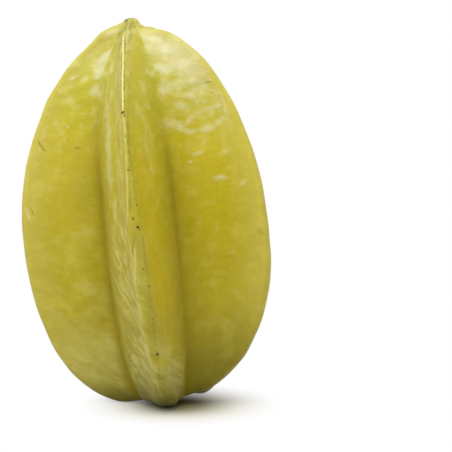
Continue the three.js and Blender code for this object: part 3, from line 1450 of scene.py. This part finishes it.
        count = len(height)
        result = SkinPlaces(np.zeros(count, int), height, np.zeros(count), np.zeros(count))
        result.rib[corner] = rib
        result.across[corner] = across * side
        result.gap[corner] = whole - across
        return result

    @staticmethod
    def _between(
        table: np.ndarray, level: np.ndarray, rib: np.ndarray, side: np.ndarray, step: np.ndarray
    ) -> np.ndarray:
        """Reads the table of spans between its rows and columns.

        Args:
            table: Distances by level, rib, side and column.
            level: The level, which may lie between two.
            rib: The rib.
            side: -1 or 1.
            step: Columns from the crest, which may lie between two.

        Returns:
            The distances.
        """
        flank = (side > 0).astype(int)
        row = np.clip(np.floor(level).astype(int), 0, table.shape[0] - 2)
        column = np.clip(np.floor(step).astype(int), 0, table.shape[3] - 2)
        up, over = level - row, step - column
        lower = table[row, rib, flank, column] * (1 - over) + table[row, rib, flank, column + 1] * over
        upper = (
            table[row + 1, rib, flank, column] * (1 - over) + table[row + 1, rib, flank, column + 1] * over
        )
        return lower * (1 - up) + upper * up

    def _soften(self, skin: bpy.types.Object, places: SkinPlaces) -> None:
        """Rounds off the edges along the crests, the feet more than those, and the upper valleys.

        Args:
            skin: The skin.
            places: Where its points are.
        """
        crest, height = places.crest, places.height
        valleys = (height > self.valley_from) & (height < self.valley_until)
        rounds = (
            (crest < self.crest_round, self.crest_rounding),
            ((crest < self.foot_round) & (height < self.foot_until), self.foot_rounding),
            (valleys & (places.gap < self.valley_round), self.valley_rounding),
        )
        for chosen, times in rounds:
            edit(skin, "DESELECT")
            bpy.ops.mesh.select_mode(type="VERT")
            done()
            skin.data.vertices.foreach_set("select", chosen)
            bpy.ops.object.mode_set(mode="EDIT")
            bpy.ops.mesh.vertices_smooth(factor=0.5, repeat=times)
            done()

    def _sculpt(self, skin: bpy.types.Object, places: SkinPlaces) -> None:
        """Pushes the skin in and out: swells, creases, seams, rims, valleys and the button's neck.

        Args:
            skin: The skin.
            places: Where its points are.
        """
        points = points_of(skin.data)
        height, crest, gap, room = places.height, places.crest, places.gap, places.room
        flank = eased(crest, *self.flank_crest) * eased(gap, *self.flank_gap)
        upper = eased(height, self.seam_from, self.seam_until)

        push = self.swell_depth * clouds(points, self.swell_size * MM, 1)
        push += self.ripple_depth * clouds(points, self.ripple_size * MM, 2)
        size, reach = self.crease_wander
        wander = reach * clouds(points, size * MM, 3)
        waves = np.sin(2 * math.pi * (height / self.crease_length + wander))
        patchy = eased(clouds(points, self.crease_patches * MM, 4), *self.crease_patchiness)
        plain = self.crease_least + (1 - self.crease_least) * eased(height, *self.crease_rise)
        push += self.crease_depth * waves * patchy * flank * plain
        push += self.crest_sway * clouds(points, self.sway_size * MM, 5) * hump(crest, self.sway_width)
        seam = upper * room * np.where(places.rib == Rib.FRONT.value, 1, self.side_seams)
        push += self.seam_height * seam * hump(crest, self.seam_width)
        push -= self.groove_depth * seam * hump(crest - self.groove_place, self.groove_width)
        push += self.rim_height * (1 - upper) * room * hump(crest - self.rim_place, self.rim_width)
        push += self.valley_fill * room * eased(height, *self.valley_rise) * hump(gap, self.valley_width)
        neck = -self.neck_depth * hump(height - self.neck_place, self.neck_width)
        shoulder = self.shoulder_height * hump(height - self.shoulder_place, self.shoulder_width)
        push += np.where(places.rib == Rib.LEFT.value, shoulder, neck) * eased(gap, *self.shoulder_gap)
        push *= eased(points[:, 2] / MM, *self.feet)

        points += normals_of(skin.data) * push[:, None] * MM
        points[:, 2] = np.maximum(points[:, 2], 0)
        skin.data.vertices.foreach_set("co", points.ravel())
        skin.data.update()

    def _paint(self, skin: bpy.types.Object, places: SkinPlaces) -> None:
        """Stores what the finish reads at each point: how far the valley is, and the rib's room."""
        values = {
            "gap": places.gap * MM,
            "room": places.room,
        }
        for name, value in values.items():
            layer = skin.data.attributes.new(name, "FLOAT", "POINT")
            layer.data.foreach_set("value", value.astype(np.float32))

    def _dress(self, skin: bpy.types.Object) -> None:
        """Gives the skin its waxy finish."""
        material, bench = new_material(self.name)
        bench.finish(self.finish.shader(bench))
        skin.data.materials.append(material)


@dataclass(frozen=True)
class DryFinish:
    """Dried plant stuff: the stem scar and what is left of the flower."""

    name: str
    dark: str
    light: str
    grain: float  # metres
    grain_range: tuple[float, float] = (0.35, 0.65)  # from all dark to all light
    relief: float = 0.6
    roughness: float = 0.85

    def dress(self, piece: bpy.types.Object) -> None:
        """Gives a piece this finish."""
        material, bench = new_material(self.name)
        place = bench.add("ShaderNodeTexCoord", output="Object")
        grain = bench.noise(place, self.grain, 5)
        colour = bench.blend(grain.step(*self.grain_range), linear(self.dark), linear(self.light))
        relief = {"Height": grain, "Distance": self.grain, "Strength": self.relief}
        inputs = {
            "Base Color": colour,
            "Roughness": self.roughness,
            "Normal": bench.add("ShaderNodeBump", None, relief),
        }
        bench.finish(bench.add("ShaderNodeBsdfPrincipled", None, inputs))
        piece.data.materials.append(material)


@dataclass
class StyleRemnant:
    """The dried stub of the flower's style, on the button's shoulder. Sizes in metres."""

    name: str = "style_remnant"
    sides: int = 10
    radius: float = 0.00055
    height: float = 0.0007
    rim: float = 0.35 * radius
    hollow: float = 0.3 * height
    lump_size: float = 0.0006
    lump_depth: float = 0.00022
    place: tuple[float, float, float] = (-0.0015, -0.0012, -0.0008)  # from the axis's upper end
    look: tuple[float, float, float] = (0.72, 0.42, -0.55)  # from outside, towards the button
    far: float = 0.01  # how far outside that look begins
    sunk: float = 0.00055
    finish: DryFinish = DryFinish("dried_style", "#66624A", "#96926C", 0.0005)

    def build(self, skin: bpy.types.Object, axis: Axis) -> bpy.types.Object:
        """Builds the stub on the skin.

        Args:
            skin: The fruit's skin.
            axis: The fruit's axis.

        Returns:
            The stub.
        """
        look = Vector(self.look).normalized()
        outside = Vector(axis.high) + Vector(self.place) - self.far * look
        _, spot, normal, _ = skin.ray_cast(outside, look)
        middle = spot + normal * (self.height / 2 - self.sunk)
        stub = cylinder(self.name, self.sides, self.radius, self.height, middle, normal)
        edit_end(stub, normal)
        bpy.ops.mesh.inset(thickness=self.rim, depth=0)
        inward = tuple(normal * -self.hollow)
        bpy.ops.mesh.extrude_region_move(TRANSFORM_OT_translate={"value": inward})
        done()
        smoothed(stub, 2)
        roughen(stub, self.lump_size, self.lump_depth, 11)
        self.finish.dress(stub)
        return stub


@dataclass
class StemScar:
    """The dry scar in the recess below, where the stalk was. Sizes in metres."""

    name: str = "stem_scar"
    sides: int = 20
    radius: float = 0.0019
    depth: float = 0.0014
    rim: float = 0.0005
    hollow: float = 0.0006
    lump_size: float = 0.0008
    lump_depth: float = 0.00018
    finish: DryFinish = DryFinish("dry_stalk", "#4A3A22", "#8F7B50", 0.0007)

    def build(self, axis: Axis) -> bpy.types.Object:
        """Builds the scar in the stem recess.

        Args:
            axis: The fruit's axis.

        Returns:
            The scar.
        """
        up = Vector(axis.up)
        scar = cylinder(self.name, self.sides, self.radius, self.depth, Vector(axis.low), up)
        edit_end(scar, -up)
        bpy.ops.mesh.inset(thickness=self.rim, depth=0)
        bpy.ops.mesh.inset(thickness=self.rim / 2, depth=-self.hollow)
        bpy.ops.mesh.inset(thickness=self.rim, depth=self.hollow / 3)
        done()
        smoothed(scar, 2)
        roughen(scar, self.lump_size, self.lump_depth, 12)
        self.finish.dress(scar)
        return scar


# ---- The studio --------------------------------------------------------------------------------


@dataclass
class Studio:
    """A white floor, soft light from above and the camera. Metres and degrees."""

    floor_size: float = 12
    # its yellow-green tint is painted bounce light from the fruit, seen in the shadow
    floor_colour: Colour = (0.7, 0.67, 0.55, 1.0)
    painted_shadow_colour: Colour = (0.26, 0.24, 0.12, 1.0)  # painted shadow: a darker floor right under the fruit
    painted_shadow_reach: tuple[float, float] = (0.001, 0.0215)
    glow_reach: tuple[float, float] = (0.005, 0.032)  # from the floor's own colour to white
    feet: tuple[float, float, float] = (0.0096, -0.0058, 0.0)  # the middle of the shadow
    sky: float = 0.66
    softbox_size: float = 0.6
    softbox_place: tuple[float, float, float] = (-0.1, -0.32, 0.66)
    softbox_power: float = 4.4
    distance: float = 0.9
    elevation: float = 9
    aside: float = 0.0234  # the camera looks this far to the right of the fruit's middle
    drop: float = 0.0044  # and this far below it
    field: float = 0.13334  # width of what the camera sees, at the fruit
    sensor: float = 36.0

    def build(self) -> None:
        """Sets up the floor, the light and the camera."""
        low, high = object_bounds()
        middle = (low + high) / 2
        self._floor()
        self._sky()
        self._softbox(middle)
        self._camera(middle)
        bpy.context.scene.view_settings.view_transform = "Standard"

    @staticmethod
    def _seen(bench: Bench) -> Signal:
        """1 on camera, glossy and transmission rays, and 0 on the others."""
        rays = ("Is Camera Ray", "Is Glossy Ray", "Is Transmission Ray")
        camera, glossy, through = [bench.add("ShaderNodeLightPath", output=name) for name in rays]
        return camera.most(glossy).most(through)

    def _floor(self) -> None:
        """Lays the floor, which is white to the camera except in the fruit's shadow, which a painted
        darker floor colour deepens under the feet.
        """
        bpy.ops.object.select_all(action="DESELECT")
        bpy.ops.mesh.primitive_plane_add(size=self.floor_size, location=(0, 0, 0))
        floor = bpy.context.object
        floor.name = floor.data.name = "floor"
        material, bench = new_material("floor")
        place = bench.add("ShaderNodeTexCoord", output="Object")
        reach = bench.add("ShaderNodeVectorMath", {"operation": "SUBTRACT"}, {0: place, 1: self.feet})
        away = bench.length(reach)
        glow = away.step(*self.glow_reach) * self._seen(bench)
        # Painted shadow: the floor's colour darkens towards the feet.
        colour = bench.blend(away.step(*self.painted_shadow_reach), self.painted_shadow_colour, self.floor_colour)
        matt = bench.add("ShaderNodeBsdfDiffuse", None, {"Color": colour})
        white = bench.add("ShaderNodeEmission", None, {"Color": WHITE, "Strength": 1.0})
        bench.finish(bench.add("ShaderNodeMixShader", None, {0: glow, 1: matt, 2: white}))
        floor.data.materials.append(material)
        floor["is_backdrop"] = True

    def _sky(self) -> None:
        """Surrounds the scene with soft light that looks white."""
        world = bpy.data.worlds.new("sky")
        bpy.context.scene.world = world
        world.use_nodes = True
        bench = Bench(world.node_tree)
        strength = self.sky + (1 - self.sky) * self._seen(bench)
        inputs = {"Color": WHITE, "Strength": strength}
        light = bench.add("ShaderNodeBackground", None, inputs)
        bench.add("ShaderNodeOutputWorld", None, {"Surface": light})

    def _softbox(self, middle: Vector) -> None:
        """Hangs the softbox and turns it to the fruit.

        Args:
            middle: The fruit's middle.
        """
        lamp = bpy.data.lights.new("softbox", "AREA")
        lamp.shape = "SQUARE"
        lamp.size = self.softbox_size
        lamp.energy = self.softbox_power
        softbox = bpy.data.objects.new("softbox", lamp)
        softbox.location = middle + Vector(self.softbox_place)
        softbox.rotation_euler = (middle - softbox.location).to_track_quat("-Z", "Y").to_euler()
        softbox.visible_camera = False
        bpy.context.scene.collection.objects.link(softbox)

    def _camera(self, middle: Vector) -> None:
        """Places the camera.

        Args:
            middle: The fruit's middle.
        """
        angle = math.radians(self.elevation)
        aim = Vector((middle.x + self.aside, middle.y, middle.z - self.drop))
        lens = bpy.data.cameras.new("camera")
        lens.sensor_width = self.sensor
        lens.lens = self.sensor * self.distance / self.field
        camera = bpy.data.objects.new("camera", lens)
        camera.location = aim + self.distance * Vector((0, -math.cos(angle), math.sin(angle)))
        camera.rotation_euler = (aim - camera.location).to_track_quat("-Z", "Y").to_euler()
        bpy.context.scene.collection.objects.link(camera)
        bpy.context.scene.camera = camera


# ---- The whole scene ---------------------------------------------------------------------------


def report(piece: bpy.types.Object) -> None:
    """Logs a finished piece's name and size."""
    size = " x ".join(f"{side / MM:.1f}" for side in piece.dimensions)
    log.info("%s: %s mm, %d faces", piece.name, size, len(piece.data.polygons))


def main() -> None:
    """Builds the fruit and the studio, and logs how large each finished piece is."""
    logging.basicConfig(level=logging.INFO, format="%(name)s: %(message)s")
    fruit = FruitSkin()
    skin = fruit.build(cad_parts[FRUIT])
    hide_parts(FRUIT)
    style = StyleRemnant().build(skin, fruit.axis)
    scar = StemScar().build(fruit.axis)
    for piece in (skin, style, scar):
        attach(piece, BODY)
        report(piece)
    Studio().build()


if __name__ == "__main__":
    main()
